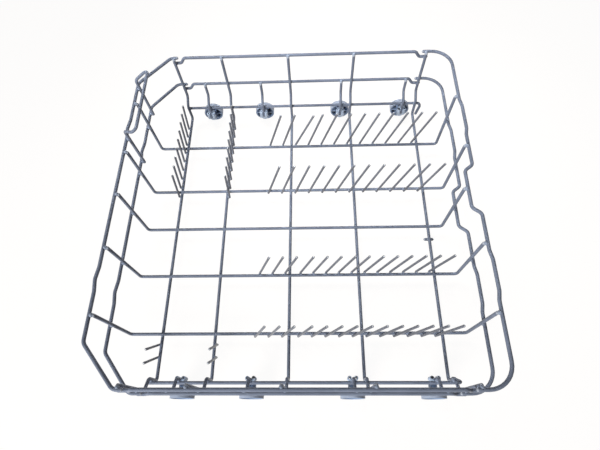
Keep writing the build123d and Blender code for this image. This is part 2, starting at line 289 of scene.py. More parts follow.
class StageSettings(PropertyGroup):
    """Camera, lamps and floor."""

    camera_place: position("Camera place", (0.03022, -0.29959, 0.67349), "Where the camera stands")
    camera_aim: position("Camera aim", (0.00379, 0.01848, 0.0), "Where on the floor the camera looks")
    camera_roll: degrees("Camera roll", -5.068, "How far the camera is turned about its line of sight")
    focal_pixels: amount("Focal length", 429.21, "Focal length, in pixels of the photograph's width")
    key_place: position("Key place", (-1.0, -1.65, 0.9), "Place of the large lamp, off the front right")
    key_width: size("Key width", 1.0, "Width of the large lamp and of the fill lamp")
    key_power: watts("Key power", 41.0, "Power of the large lamp")
    top_place: position("Top place", (-0.28, 0.42, 1.1), "Place of the lamp over the left side")
    top_aim: position("Top aim", (0.08, 0.2, 0.0), "What that lamp is aimed at")
    top_width: size("Top width", 0.5, "Width of that lamp")
    top_spread: degrees("Top spread", 44.0, "Angle of its beam")
    top_power: watts("Top power", 1.15, "Its power")
    fill_place: position("Fill place", (0.6, 1.85, 0.3), "Place of the weak fill lamp, off the left")
    fill_power: watts("Fill power", 12.0, "Its power")
    sky: colour("Sky colour", (1.0, 0.84, 0.74), "Colour of the even light from all round")
    sky_power: amount("Sky", 0.06, "Strength of that light")
    floor_half: size("Floor half width", 6.0, "Half the width of the floor")
    floor_drop: size("Floor drop", 0.0002, "How far the floor lies below the wheels")
    white_share: share("White share", 0.7, "How much of the floor is plain white, and not matte")
    white_strength: amount("White strength", 1.33, "Strength of that white, before its share is taken")


class BasketSettings(PropertyGroup):
    """Everything that shapes the basket, and the places that follow from it."""

    wire: PointerProperty(type=WireSizes)
    rim: PointerProperty(type=RimSizes)
    floor: PointerProperty(type=FloorSizes)
    handle: PointerProperty(type=HandleSizes)
    tine: PointerProperty(type=TineSizes)
    wheel: PointerProperty(type=WheelSizes)
    finish: PointerProperty(type=Finishes)
    coat: PointerProperty(type=CoatLook)
    plastic: PointerProperty(type=PlasticLook)
    stage: PointerProperty(type=StageSettings)

    def rim_offset(self):
        """From a rim's axis to the axis of the upright welded inside it."""
        return (self.wire.rim + self.wire.floor) / 2 + self.wire.gap

    def floor_offset(self):
        """Between the axes of two floor wires that lie on each other."""
        return self.wire.floor + self.wire.gap

    def tine_offset(self):
        """From a floor wire's axis to the axis of a tine beside it."""
        return (self.wire.floor + self.wire.tine) / 2 + self.wire.gap

    def rim_height(self, level):
        """Height of the top rim, level 0, or the middle rim, level 1."""
        return (self.rim.top, self.rim.middle)[level]

    def wall_half_length(self):
        """From the middle to the uprights of the end walls."""
        return self.rim.half_length - self.rim_offset()

    def wall_half_width(self):
        """From the middle to the uprights of the side walls, above the shoulder."""
        return self.rim.half_width - self.rim_offset()

    def foot_half_width(self):
        """From the middle to the uprights of the side walls, below the shoulder."""
        return self.wall_half_width() - self.floor.shoulder_depth

    def upright_top(self):
        """Height where the uprights end."""
        return self.rim.top + self.floor.upright_end

    def cross_height(self):
        """Height of the cross wires, which lie under the length wires."""
        return self.floor.height - self.floor_offset()

    def bottom_rail_height(self):
        """Height of the bottom rails, under the start of the shoulder's inner bend."""
        floor = self.floor
        turn = atan2(floor.shoulder_depth, floor.shoulder_high - floor.shoulder_low)
        return floor.shoulder_low - floor.shoulder_bend * tan(turn / 2) - floor.rail_drop

    def bottom_rail_half_width(self):
        """From the middle to the bottom rails, which lie outside the side walls' feet."""
        return self.foot_half_width() + self.floor_offset()

    def rear_of(self, place):
        """Where a length wire's rear upright stands: the middle one keeps clear of the notch."""
        in_notch = abs(place) < self.rim.notch_half_width
        return self.wall_half_length() - (self.rim.notch_depth if in_notch else 0)

    def axle(self, place, side):
        """The middle of a wheel."""
        low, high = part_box(f"wheel_{'left' if side > 0 else 'right'}_1")
        return Vector((place, (low.y + high.y) / 2, self.wheel.diameter / 2))


def feed(tree, socket, value):
    """Links a field or another node's socket to a socket, or else sets the socket's own value."""
    value = getattr(value, "socket", value)
    if isinstance(value, bpy.types.NodeSocket):
        tree.links.new(value, socket)
    else:
        socket.default_value = value


def add_node(tree, kind, inputs=None, **settings):
    """Adds a node, sets its settings first and then feeds its sockets."""
    node = tree.nodes.new(kind)
    for name, value in settings.items():
        setattr(node, name, value)
    for name, value in (inputs or {}).items():
        feed(tree, node.inputs[name], value)
    return node


class Field:
    """A node's socket that takes part in sums: each operator adds one Math node."""

    def __init__(self, tree, socket):
        self.tree, self.socket = tree, socket

    def _math(self, operation, *values):
        node = add_node(self.tree, "ShaderNodeMath", dict(enumerate(values)), operation=operation)
        return Field(self.tree, node.outputs[0])

    def __add__(self, other):
        return self._math("ADD", self, other)

    def __sub__(self, other):
        return self._math("SUBTRACT", self, other)

    def __rsub__(self, other):
        return self._math("SUBTRACT", other, self)

    def __mul__(self, other):
        return self._math("MULTIPLY", self, other)

    __radd__ = __add__
    __rmul__ = __mul__

    def larger(self, other):
        """The larger of this and another field or number."""
        return self._math("MAXIMUM", self, other)

    def between(self, low, high):
        """0 below low, 1 above high, and a soft step between."""
        inputs = {"Value": self, "From Min": low, "From Max": high}
        node = add_node(self.tree, "ShaderNodeMapRange", inputs, interpolation_type="SMOOTHSTEP")
        return Field(self.tree, node.outputs[0])


def coated_wire_tree():
    """Geometry nodes that turn chains of edges into round bent wires, and loose points into weld beads."""
    tree = bpy.data.node_groups.new("coated_wire", "GeometryNodeTree")
    kinds = {
        "Route": "Geometry",
        "Diameter": "Float",
        "Sides": "Int",
        "Bend steps": "Int",
        "Bead steps": "Int",
        "Material": "Material",
    }
    for name, kind in kinds.items():
        tree.interface.new_socket(name, in_out="INPUT", socket_type=f"NodeSocket{kind}")
    tree.interface.new_socket("Wire", in_out="OUTPUT", socket_type="NodeSocketGeometry")
    given = add_node(tree, "NodeGroupInput").outputs

    def step(kind, inputs=None, out=0, **settings):
        """Adds one node and gives its output."""
        return add_node(tree, f"GeometryNode{kind}", inputs, **settings).outputs[out]

    def attribute(name):
        return step("InputNamedAttribute", {"Name": name}, "Attribute", data_type="FLOAT")

    is_weld = add_node(tree, "FunctionNodeCompare", {0: attribute("weld"), 1: 0.0}, operation="GREATER_THAN")
    parts = {"Geometry": given["Route"], "Selection": is_weld.outputs[0]}
    apart = add_node(tree, "GeometryNodeSeparateGeometry", parts, domain="POINT").outputs
    lines = step("MeshToCurve", {"Mesh": apart["Inverted"]})
    corners = {"Count": given["Bend steps"], "Radius": attribute("bend"), "Limit Radius": True}
    bent = step("FilletCurve", {"Curve": lines, **corners}, mode="POLY")
    shaped = step("SetCurveRadius", {"Curve": bent, "Radius": attribute("thickness")})
    radius = Field(tree, given["Diameter"]) * 0.5
    section = step("CurvePrimitiveCircle", {"Resolution": given["Sides"], "Radius": radius})
    along = {"Curve": shaped, "Scale": step("InputRadius")}
    tube = step("CurveToMesh", {**along, "Profile Curve": section, "Fill Caps": True})
    ball = step("MeshIcoSphere", {"Radius": 1.0, "Subdivisions": given["Bead steps"]})
    # Every bead is marked for the coat's painted highlight on the welds
    pool = {"Geometry": ball, "Name": "pool", "Value": 1.0}
    bead = step("StoreNamedAttribute", pool, data_type="FLOAT", domain="POINT")
    spots = step("MeshToPoints", {"Mesh": apart["Selection"]})
    beads = step("InstanceOnPoints", {"Points": spots, "Instance": bead, "Scale": attribute("weld")})
    joined = add_node(tree, "GeometryNodeJoinGeometry")
    for geometry in (tube, beads):
        tree.links.new(geometry, joined.inputs["Geometry"])
    real = step("RealizeInstances", {"Geometry": joined.outputs["Geometry"]})
    smooth = step("SetShadeSmooth", {"Geometry": real, "Shade Smooth": True})
    dressed = step("SetMaterial", {"Geometry": smooth, "Material": given["Material"]})
    add_node(tree, "NodeGroupOutput", {"Wire": dressed})
    return tree


# Rings that round a wire's end, from its tip inwards, by their angle above the foot of the dome
DOME_ANGLES = [radians(angle) for angle in (85, 65, 42, 20, 0)]
# How much each of those rings takes the near-white end colour, partly worn-off coat and partly a painted
# glint, on a wire and on a tine
WIRE_END = (0.4, 0.4, 0.4, 0.4, 0.0)
TINE_END = (1.0, 1.0, 0.2, 0.0, 0.0)


def domed_end(tip, inside, diameter, bare, swell=1.0):
    """Rows of (point, thickness, bend, tip, weld) from a wire's tip inwards, which round it."""
    inwards = (inside - tip).normalized() * diameter / 2
    # The tip column weighs the near-white end colour: worn-off coat, and a painted glint
    return [
        (tip + inwards * (1 - sin(angle)), cos(angle) * swell, 0.0, worn, 0.0)
        for angle, worn in zip(DOME_ANGLES, bare)
    ]


def wire_piece(context, node, routes, welds, kind="floor"):
    """Makes the round wires of one CAD node, with their weld beads, and lets them stand for it.

    A route is its points with the radii of its bends, and kind names one of the wires' diameters.
    """
    settings = context.scene.basket
    wire = settings.wire
    diameter = getattr(wire, kind)
    is_tine = kind == "tine"
    bare, swell = (TINE_END, wire.tip_swell) if is_tine else (WIRE_END, 1.0)
    rows, edges = [], []
    for route, bends in routes:
        points = [Vector(point) for point in route]
        first = len(rows)
        rows += domed_end(points[0], points[1], diameter, bare)
        rows += [(point, 1.0, bend, 0.0, 0.0) for point, bend in zip(points[1:-1], bends)]
        if is_tine:
            inwards = (points[-2] - points[-1]).normalized()
            rows.append((points[-1] + inwards * diameter * wire.swell_length, 1.0, 0.0, 0.0, 0.0))
        rows += reversed(domed_end(points[-1], points[-2], diameter, bare, swell))
        edges += [(i, i + 1) for i in range(first, len(rows) - 1)]
    rows += [(Vector(point), 1.0, 0.0, 0.0, wire.bead * diameter) for point in welds]
    places, *columns = zip(*rows)
    mesh = bpy.data.meshes.new(f"{node}_route")
    mesh.from_pydata(places, edges, [])
    for name, values in zip(("thickness", "bend", "tip", "weld"), columns):
        mesh.attributes.new(name, "FLOAT", "POINT").data.foreach_set("value", values)
    piece = bpy.data.objects.new(f"coated_{node}", mesh)
    context.scene.collection.objects.link(piece)
    modifier = piece.modifiers.new("Coated wire", "NODES")
    modifier.node_group = bpy.data.node_groups.get("coated_wire") or coated_wire_tree()
    inputs = {
        "Diameter": diameter,
        "Sides": wire.sides,
        "Bend steps": wire.bend_steps,
        "Bead steps": wire.bead_steps,
        "Material": tine_coat(settings) if is_tine else wire_coat(settings),
    }
    for item in modifier.node_group.interface.items_tree:
        if item.name in inputs:
            modifier[item.identifier] = inputs[item.name]
    settle(context, piece, node, BASKET)


def settle(context, piece, node, body):
    """Turns a piece into a plain mesh, lets it ride on its body and stand for its CAD node."""
    context.view_layer.update()
    graph = context.evaluated_depsgraph_get()
    plain = bpy.data.meshes.new_from_object(piece.evaluated_get(graph), depsgraph=graph)
    plain.name = piece.name
    piece.modifiers.clear()
    piece.data = plain
    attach(piece, body)
    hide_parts(node)


# A Mix node's colour sockets come after those of its other kinds
MIX_LOW, MIX_HIGH, MIX_RESULT = 6, 7, 2


class Finish:
    """A material with one Principled shader, built from fields."""

    def __init__(self, name):
        self.material = bpy.data.materials.new(name)
        self.material.use_nodes = True
        self.tree = self.material.node_tree
        self.shader = self.tree.nodes["Principled BSDF"]
        self.coordinates = add_node(self.tree, "ShaderNodeTexCoord").outputs["Object"]

    def field(self, kind, inputs=None, out=0, **settings):
        """Adds any node and gives one of its outputs."""
        return Field(self.tree, add_node(self.tree, kind, inputs, **settings).outputs[out])

    def noise(self, scale, detail, roughness=0.55):
        """Noise in the basket's own space."""
        inputs = {"Vector": self.coordinates, "Scale": scale, "Detail": detail, "Roughness": roughness}
        return self.field("ShaderNodeTexNoise", inputs)

    def attribute(self, name):
        """What a mesh keeps under this name at each of its points."""
        return self.field("ShaderNodeAttribute", None, "Fac", attribute_name=name)

    def mix(self, factor, low, high):
        """Two colours mixed by a field."""
        inputs = {"Factor": factor, MIX_LOW: low, MIX_HIGH: high}
        return self.field("ShaderNodeMix", inputs, MIX_RESULT, data_type="RGBA")

    def relief(self, height, strength):
        """A surface raised by a field."""
        inputs = {"Height": height, "Strength": strength, "Distance": RELIEF_DEPTH}
        return self.field("ShaderNodeBump", inputs)

    def complete(self, sockets):
        """Feeds the shader's sockets and gives the material."""
        for name, value in sockets.items():
            feed(self.tree, self.shader.inputs[name], value)
        return self.material


def opaque(base, factor=1.0):
    """A colour made lighter or darker by a factor, with its alpha."""
    return (*(min(1.0, channel * factor) for channel in base), 1.0)


def nylon_coat(name, settings, base):
    """Dipped nylon: slightly uneven, with a pale film here and there, a painted highlight on the weld beads,
    and near-white ends that are partly worn-off coat and partly a painted glint.
    """
    if name in bpy.data.materials:
        return bpy.data.materials[name]
    look, colours = settings.coat, settings.finish
    finish = Finish(name)
    drift = finish.noise(look.drift_scale, detail=2.0)
    film = finish.noise(look.film_scale, detail=4.0, roughness=0.65)
    grain = finish.noise(look.grain_scale, detail=2.0)
    uneven = drift.between(low=0.35, high=0.7)
    tone = finish.mix(uneven, opaque(base, 1 - look.drift), opaque(base, 1 + look.drift))
    # The film's pale blotches are the coat's own; on the weld beads the pale colour is a painted highlight
    pale = film.between(low=0.56, high=0.78) * look.film + finish.attribute("pool") * look.pool
    film_and_glint = finish.mix(pale, tone, opaque(colours.pale_film_and_glint))
    surface = finish.relief(grain * look.grain + film * (1 - look.grain), look.relief)
    return finish.complete({
        # Near-white ends: partly metal where the coat has worn off, partly a painted glint
        "Base Color": finish.mix(finish.attribute("tip") * look.bare, film_and_glint, opaque(colours.ends)),
        "Roughness": film * look.film_rough + look.rough,
        "Normal": surface,
        "Specular IOR Level": look.shine,
    })


def wire_coat(settings):
    """The coat of the rims, rails, floor wires, stems and handle."""
    return nylon_coat("wire_coat_look", settings, settings.finish.coat)


def tine_coat(settings):
    """The greyer coat of the tines."""
    return nylon_coat("tine_coat_look", settings, settings.finish.tine)


def moulded_plastic(name, settings, base):
    """Moulded plastic: faint mottling, a fine grain and a dark film in blotches."""
    if name in bpy.data.materials:
        return bpy.data.materials[name]
    look = settings.plastic
    finish = Finish(name)
    mottle = finish.noise(look.mottle_scale, detail=3.0)
    grain = finish.noise(look.grain_scale, detail=2.0)
    dirt = finish.noise(look.dirt_scale, detail=4.0, roughness=0.6)
    uneven = mottle.between(low=0.3, high=0.75)
    tone = finish.mix(uneven, opaque(base, 1 - look.darker), opaque(base, 1 + look.lighter))
    dirty = dirt.between(low=0.62, high=0.85) * look.dirt
    return finish.complete({
        "Base Color": finish.mix(dirty, tone, opaque(settings.finish.grime)),
        "Roughness": grain * look.grain_rough + look.rough,
        "Normal": finish.relief(grain * look.grain + mottle * (1 - look.grain), look.relief),
    })


def front_rim_route(settings, level):
    """A front rim: a U with cut corners and two small joggles."""
    rim = settings.rim
    height = settings.rim_height(level)
    straight = rim.half_width - rim.cut_widths[level]
    corner = -rim.half_length + rim.cut_lengths[level]
    end = settings.floor.cross_places[0] + rim.lap
    cut_corner = [(end, rim.half_width), (corner, rim.half_width), (-rim.half_length, straight)]
    points = list(cut_corner)
    radii = [rim.front_bend] * 2
    for middle in rim.front_joggles:
        for along, out in ((rim.front_joggle_slope, 0), (0, rim.joggle), (-rim.front_joggle_slope, 0)):
            points.append((-rim.half_length - out, middle + along))
            radii.append(rim.joggle_bend)
    points += [(x, -y) for x, y in reversed(cut_corner)]
    radii += [rim.front_bend] * 2
    return [(x, y, height) for x, y in points], radii


def rear_rim_route(settings, level):
    """A rear rim: a U with round corners, set out between the uprights and notched at the middle."""
    rim = settings.rim
    height = settings.rim_height(level)
    inner = rim.rear_joggle - rim.rear_joggle_half
    outer = rim.rear_joggle + rim.rear_joggle_half
    out = rim.half_length + rim.joggle
    half = [
        (settings.floor.cross_places[-1] - rim.lap, rim.half_width, None),
        (rim.half_length, rim.half_width, rim.rear_bend),
        (rim.half_length, outer + rim.rear_joggle_slope, rim.joggle_bend),
        (out, outer, rim.joggle_bend),
        (out, inner, rim.joggle_bend),
        (rim.half_length, inner - rim.rear_joggle_slope, rim.joggle_bend),
        (rim.half_length, rim.notch_half_width + rim.notch_slope, rim.notch_bend),
        (rim.half_length - rim.notch_depth, rim.notch_half_width, rim.notch_bend),
    ]
    whole = half + [(x, -y, radius) for x, y, radius in reversed(half)]
    return [(x, y, height) for x, y, _ in whole], [radius for _, _, radius in whole[1:-1]]


def side_rail_route(settings, level, side):
    """A side rail: straight, with both ends dipped under the rims' ends."""
    rim = settings.rim
    height = settings.rim_height(level)
    front, rear = settings.floor.cross_places[0], settings.floor.cross_places[-1]
    low = height - rim.rail_dip
    start = front + rim.rail_dip_start
    end = rear - rim.rail_dip_start
    profile = [
        (front - rim.rail_lap, low),
        (start, low),
        (start + rim.rail_dip_slope, height),
        (end - rim.rail_dip_slope, height),
        (end, low),
        (rear + rim.rail_lap, low),
    ]
    return [(x, side * rim.half_width, z) for x, z in profile], [rim.rail_bend] * 4


def wall_route(settings, place, side, top, bottom):
    """A side wall's wire from its top end down to its foot."""
    floor = settings.floor
    wall, foot = side * settings.wall_half_width(), side * settings.foot_half_width()
    heights = ((wall, top), (wall, floor.shoulder_high), (foot, floor.shoulder_low), (foot, bottom))
    return [(place, y, z) for y, z in heights]


class BASKET_OT_rims(Operator):
    """Coats the top and middle rims with their side rails"""

    bl_idname = "basket.rims"
    bl_label = "Rims"

    def execute(self, context):
        settings = context.scene.basket
        for level, label in enumerate(("top", "middle")):
            wire_piece(context, f"{label}_rim_front", [front_rim_route(settings, level)], [], "rim")
            wire_piece(context, f"{label}_rim_rear", [rear_rim_route(settings, level)], [], "rim")
            for name, side in SIDES.items():
                route = side_rail_route(settings, level, side)
                wire_piece(context, f"{label}_rail_{name}", [route], [], "rim")
        return {"FINISHED"}


class BASKET_OT_length_wires(Operator):
    """Coats the length wires, with beads where they cross the cross wires and the rims"""

    bl_idname = "basket.length_wires"
    bl_label = "Length wires"

    def execute(self, context):
        settings = context.scene.basket
        floor, rim = settings.floor, settings.rim
        front, top = -settings.wall_half_length(), settings.upright_top()
        half = settings.wire.floor / 2
        for number, y in enumerate(floor.length_places, 1):
            rear = settings.rear_of(y)
            route = [(front, y, top), (front, y, floor.height), (rear, y, floor.height), (rear, y, top)]
            welds = [(x, y, floor.height - half) for x in floor.cross_places]
            for height in (rim.top, rim.middle):
                welds += [(front - half, y, height), (rear + half, y, height)]
            wire_piece(context, f"length_wire_{number}", [(route, [floor.bend] * 2)], welds)
        return {"FINISHED"}


class BASKET_OT_cross_wires(Operator):
    """Coats the cross wires, with beads at the rims and side rails"""

    bl_idname = "basket.cross_wires"
    bl_label = "Cross wires"

    def execute(self, context):
        settings = context.scene.basket
        floor, rim = settings.floor, settings.rim
        bends = [floor.shoulder_bend, floor.shoulder_bend, floor.bend]
        out = settings.wall_half_width() + settings.wire.floor / 2
        last = len(floor.cross_places)
        for number, x in enumerate(floor.cross_places, 1):
            half = wall_route(settings, x, 1, settings.upright_top(), settings.cross_height())
            route = half + [(px, -y, z) for px, y, z in reversed(half)]
            levels = [rim.top, rim.middle]
            if number in (1, last):
                levels += [height - rim.rail_dip for height in levels]
            welds = [(x, side * out, z) for z in levels for side in SIDES.values()]
            wire_piece(context, f"cross_wire_{number}", [(route, bends + bends[::-1])], welds)
        return {"FINISHED"}


class BASKET_OT_bottom_rails(Operator):
    """Coats the bottom rails, with beads where they pass the cross wires and the stems"""

    bl_idname = "basket.bottom_rails"
    bl_label = "Bottom rails"

    def execute(self, context):
        settings = context.scene.basket
        floor = settings.floor
        width, height = settings.bottom_rail_half_width(), settings.bottom_rail_height()
        front, rear = floor.cross_places[0], floor.cross_places[-1]
        passed = [*floor.cross_places, *settings.wheel.places]
        for name, side in SIDES.items():
            route = [
                (front - floor.rail_lap, side * width, height),
                (rear + floor.rail_reach, side * width, height),
                (rear + settings.floor_offset(), side * (width - floor.rail_step), settings.cross_height()),
            ]
            welds = [(x, side * (width - settings.wire.floor / 2), height) for x in passed]
            wire_piece(context, f"bottom_rail_{name}", [(route, [floor.rail_bend])], welds)
        return {"FINISHED"}


class BASKET_OT_handle(Operator):
    """Coats the handle loop, with beads where its legs meet the front rims"""

    bl_idname = "basket.handle"
    bl_label = "Handle loop"

    def execute(self, context):
        settings = context.scene.basket
        handle, wire, rim = settings.handle, settings.wire, settings.rim
        x = -settings.wall_half_length()
        half = [
            (x, handle.half_width, rim.middle - wire.rim / 2 - handle.tail),
            (x, handle.half_width, handle.bend_height),
            (x + handle.reach, handle.half_width + handle.flare, handle.bar_height),
        ]
        whole = half + [(px, -y, z) for px, y, z in reversed(half)]
        route = [(px, handle.middle + y, z) for px, y, z in whole]
        legs = (handle.middle - handle.half_width, handle.middle + handle.half_width)
        welds = [(x - wire.floor / 2, y, z) for y in legs for z in (rim.top, rim.middle)]
        wire_piece(context, "handle_loop", [(route, [handle.bend] * 4)], welds)
        return {"FINISHED"}


class BASKET_OT_plate_tines(Operator):
    """Coats the four rows of plate tines, with their rounded tips and the bent tine"""

    bl_idname = "basket.plate_tines"
    bl_label = "Plate tines"

    def execute(self, context):
        settings = context.scene.basket
        tine, floor = settings.tine, settings.floor
        wide = [tine.wide_last - tine.wide_pitch * i for i in reversed(range(tine.wide_count))]
        close = [tine.close_last - tine.close_pitch * i for i in reversed(range(tine.close_count))]
        close = [x - (tine.close_extra if i < tine.close_break else 0) for i, x in enumerate(close)]
        staggered = [x - tine.close_stagger for x in close]
        rows = {
            1: (wide, 1, tine.wide_tip),
            2: (wide, -1, tine.wide_tip),
            4: (close, 1, tine.close_tip),
            5: (staggered, -1, tine.close_tip),
        }
        foot = floor.height - tine.tail
        for row, (places, side, tip) in rows.items():
            y = floor.length_places[row - 1] + side * settings.tine_offset()
            length = (tip - foot) / cos(tine.lean)
            routes = []
            for number, x in enumerate(places, 1):
                lean = tine.bent_lean if (row, number) == tuple(tine.bent) else tine.lean
                start = Vector((x - tine.tail * tan(lean), y, foot))
                routes.append(([start, start + Vector((sin(lean), 0, cos(lean))) * length], []))
            welds = [(x, y - side * settings.wire.tine / 2, floor.height) for x in places]
            wire_piece(context, f"plate_tines_{row}", routes, welds, "tine")
        return {"FINISHED"}


class BASKET_OT_cup_tines(Operator):
    """Coats the two rows of cup tines"""

    bl_idname = "basket.cup_tines"
    bl_label = "Cup tines"

    def execute(self, context):
        settings = context.scene.basket
        tine, floor = settings.tine, settings.floor
        pitch = (floor.length_places[0] - floor.length_places[1]) / tine.cup_bays
        left_first = floor.length_places[0] + pitch * (tine.cup_outer - 0.5)
        left = [left_first - pitch * i for i in range(tine.cup_outer + tine.cup_bays + tine.cup_inner)]
        right_first = floor.length_places[-1] - tine.cup_right_offset
        right = [right_first - pitch * i for i in range(tine.cup_right_count)]
        height = settings.cross_height()
        foot = height - tine.tail
        lean = tine.cup_lean
        length = (tine.cup_tip - foot) / cos(lean)
        for number, side, stagger in ((1, -1, tine.cup_stagger), (2, 1, 0)):
            x = floor.cross_places[number - 1] + side * settings.tine_offset()
            routes, welds = [], []
            for places, way in (([y + stagger for y in left], 1), (right, -1)):
                for y in places:
                    start = Vector((x, y, foot))
                    routes.append(([start, start + Vector((0, way * sin(lean), cos(lean))) * length], []))
                    welds.append((x - side * settings.wire.tine / 2, y + way * tine.tail * tan(lean), height))
            wire_piece(context, f"cup_tines_{number}", routes, welds, "tine")
        return {"FINISHED"}


class BASKET_OT_stems(Operator):
    """Coats the wheel stems and the stub under the last cross wire"""

    bl_idname = "basket.stems"
    bl_label = "Stems and stub"

    def execute(self, context):
        settings = context.scene.basket
        floor, rim, wheel = settings.floor, settings.rim, settings.wheel
        half = settings.wire.floor / 2
        top = rim.middle + floor.upright_end
        end = wheel.diameter / 2 + wheel.stem_above
        bends = [floor.shoulder_bend] * 2
        for name, side in SIDES.items():
            routes = [(wall_route(settings, x, side, top, end), bends) for x in wheel.places]
            welds = [(x, side * (settings.wall_half_width() + half), rim.middle) for x in wheel.places]
            wire_piece(context, f"wheel_stems_{name}", routes, welds)
        z = settings.cross_height() - settings.floor_offset()
        rear, y = floor.cross_places[-1], floor.stub_place
        stub = [(rear - floor.stub_length / 2, y, z), (rear + floor.stub_length / 2, y, z)]
        wire_piece(context, "rear_stub", [(stub, [])], [(rear, y, z + half)])
        return {"FINISHED"}


# Angles between faces of moulded pieces: of faces that are one flat face, of edges that are rounded,
# and of edges that stay sharp in the shading
FLAT_ANGLE = radians(1)
ROUNDED_ANGLE = radians(40)
SHARP_ANGLE = radians(32)


def moulded_object(context, node, shape, materials):
    """Turns a shape into a new object with its materials."""
    mesh = bpy.data.meshes.new(f"moulded_{node}")
    shape.to_mesh(mesh)
    shape.free()
    mesh.materials.clear()
    for material in materials:
        mesh.materials.append(material)
    piece = bpy.data.objects.new(mesh.name, mesh)
    context.scene.collection.objects.link(piece)
    return piece


def smooth_faces(piece):
    """Smooth shading that keeps the sharper edges."""
    piece.data.shade_smooth()
    piece.data.set_sharp_from_angle(angle=SHARP_ANGLE)


class BASKET_OT_clips(Operator):
    """Rounds the moulded edges of the axle clips, and paints shade in and round the holes in their ears"""

    bl_idname = "basket.clips"
    bl_label = "Axle clips"

    def execute(self, context):
        settings = context.scene.basket
        wheel, finish = settings.wheel, settings.finish
        # The second material is painted shade, for the faces in and round the ear holes
        looks = {"clip_plastic_look": finish.clip, "painted_shade_look": finish.grime}
        materials = [moulded_plastic(look, settings, base) for look, base in looks.items()]
        ears = [x + way * wheel.ear_spread for x in wheel.places for way in SIDES.values()]
        for name, side in SIDES.items():
            node = f"axle_clips_{name}"
            ear_row = side * (settings.foot_half_width() - wheel.ear_step)
            shape = bmesh.new()
            shape.from_mesh(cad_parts[node].data)
            bmesh.ops.remove_doubles(shape, verts=shape.verts, dist=MERGE_DISTANCE)
            bmesh.ops.dissolve_limit(shape, angle_limit=FLAT_ANGLE, verts=shape.verts, edges=shape.edges)
            piece = moulded_object(context, node, shape, materials)
            bevel = piece.modifiers.new("Moulded edges", "BEVEL")
            bevel.width = wheel.clip_edge
            bevel.segments = 2
            bevel.limit_method = "ANGLE"
            bevel.angle_limit = ROUNDED_ANGLE
            settle(context, piece, node, BASKET)
            smooth_faces(piece)
            # Faces in and round an ear's hole take the painted shade
            for face in piece.data.polygons:
                away = min(Vector((face.center.x - x, face.center.y - ear_row)).length for x in ears)
                face.material_index = int(away < wheel.ear_hole / 2)
        return {"FINISHED"}


# Each rib of a tread takes four steps round the wheel, of which two lie in the groove
RIB_STEPS = 4
GROOVE_STEPS = (1, 2)
# The most of a side that the rounding of one of its corners takes
CORNER_SHARE = 0.45


def rounded(outline, edge):
    """A closed outline with three points in place of each corner, so that it looks moulded."""
    points = []
    for i, corner in enumerate(outline):
        here = Vector(corner)
        before = Vector(outline[i - 1]) - here
        after = Vector(outline[(i + 1) % len(outline)]) - here
        cut = min(edge, before.length * CORNER_SHARE, after.length * CORNER_SHARE)
        start, end = here + before.normalized() * cut, here + after.normalized() * cut
        points += [start, (here + (start + end) / 2) / 2, end]
    return points


def wheel_section(wheel):
    """A wheel's section as points of (radius, place along the axle, dip into the grooves of the tread)."""
    outer, ring, hub, bore = wheel.diameter / 2, wheel.ring(), wheel.hub / 2, wheel.bore / 2
    recess, pocket = wheel.width - wheel.recess, wheel.pocket()
    tread = [(ring, 0), (outer, 0), (outer, wheel.width), (ring, wheel.width)]
    web = [(ring, recess), (bore, recess), (bore, 0), (hub, 0), (hub, pocket), (ring, pocket)]
    points = rounded(tread + web, wheel.edge)
    return [(r, along, wheel.rib_depth if r > outer - MERGE_DISTANCE else 0) for r, along in points]


def add_turned(shape, section, steps, turned):
    """Turns a closed section about the axle, with its dips at the steps that lie in a groove."""
    rings = []
    for step in range(steps):
        angle = 2 * pi * step / steps
        deep = step % RIB_STEPS in GROOVE_STEPS
        reaches = [(radius - (dip if deep else 0), along) for radius, along, dip in section]
        rings.append([shape.verts.new(turned(angle, reach, along)) for reach, along in reaches])
    for here, there in zip(rings, rings[1:] + rings[:1]):
        for i in range(len(section)):
            j = (i + 1) % len(section)
            shape.faces.new((here[i], here[j], there[j], there[i]))


def add_spoke(shape, wheel, angle, turned):
    """A spoke that is sunk a little into the hub, the ring and the web, with its free edges cut."""
    half, edge = wheel.spoke_width / 2, wheel.edge
    deep = wheel.pocket() + edge / 2
    section = [(-half, deep), (half, deep), (half, 2 * edge)]
    section += [(half - edge, edge), (-half + edge, edge), (-half, 2 * edge)]
    near, far = (
        [shape.verts.new(turned(angle, reach, along, across)) for across, along in section]
        for reach in (wheel.hub / 2 - edge, wheel.ring() + edge)
    )
    shape.faces.new(near)
    shape.faces.new(far[::-1])
    for i in range(len(section)):
        j = (i + 1) % len(section)
        shape.faces.new((near[j], near[i], far[i], far[j]))


def wheel_shape(wheel, middle, side):
    """One wheel as closed shells, with its spokes on the side towards the basket."""
    inner = middle.y - side * wheel.width / 2

    def turned(angle, reach, along, across=0.0):
        """A point at an angle and a reach from the axle, along it, and across the spoke there."""
        x = reach * cos(angle) - across * sin(angle)
        z = reach * sin(angle) + across * cos(angle)
        return (middle.x + x, inner + side * along, middle.z + z)

    shape = bmesh.new()
    add_turned(shape, wheel_section(wheel), RIB_STEPS * wheel.ribs, turned)
    for number in range(wheel.spokes):
        add_spoke(shape, wheel, 2 * pi * number / wheel.spokes, turned)
    bmesh.ops.recalc_face_normals(shape, faces=shape.faces)
    return shape


def paint_wheel(mesh, wheel, middle, side):
    """Gives the tread its worn plastic, and the web at the bottom of the pockets between the spokes a painted
    shade.
    """
    tread_slot, painted_shade_slot = 1, 2
    tread = wheel.diameter / 2 - wheel.rib_depth - wheel.edge
    # The web at the bottom of each pocket is painted in shade
    for face in mesh.polygons:
        away = face.center - middle
        along = wheel.width / 2 + side * away.y
        if Vector((away.x, away.z)).length > tread:
            face.material_index = tread_slot
        elif abs(along - wheel.pocket()) < wheel.edge / 4:
            face.material_index = painted_shade_slot


